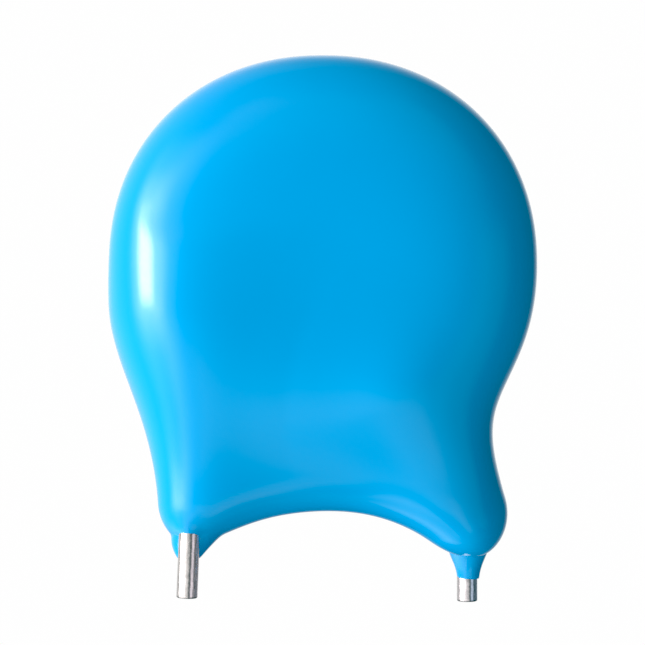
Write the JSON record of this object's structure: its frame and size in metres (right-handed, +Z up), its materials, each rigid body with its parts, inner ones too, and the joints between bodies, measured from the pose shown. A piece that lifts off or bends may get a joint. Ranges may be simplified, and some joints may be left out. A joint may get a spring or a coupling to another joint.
{
  "type": "ceramic capacitor",
  "caption": "High-voltage ceramic disc capacitor in a smooth poured epoxy coat, with two short round leads that leave feet on opposite faces.",
  "frame": {"origin": "midway between the two leads' cut ends in plan, at the height of the rear lead's cut end, which is the part's lowest point", "axes": "+Z up from the cut ends to the crown of the coat; +X from the front lead to the rear lead, along the disc's face; +Y square to the disc's face, from the front face to the rear face"},
  "size_m": [0.0153, 0.0064, 0.0196],
  "materials": {
    "epoxy": "poured epoxy, smooth and glossy, sky blue",
    "ceramic": "sintered, matt, buff",
    "fired_silver": "fired silver film, dull",
    "solder": "solder, smooth, satin",
    "tinned_wire": "hot-dipped tin, bright, slightly wavy"
  },
  "bodies": {
    "root": {"ceramic_disc": "ceramic", "front_electrode": "fired_silver", "rear_electrode": "fired_silver", "front_lead": "tinned_wire", "rear_lead": "tinned_wire", "front_solder_joint": "solder", "rear_solder_joint": "solder", "epoxy_coat": "epoxy"}
  },
  "joints": []
}
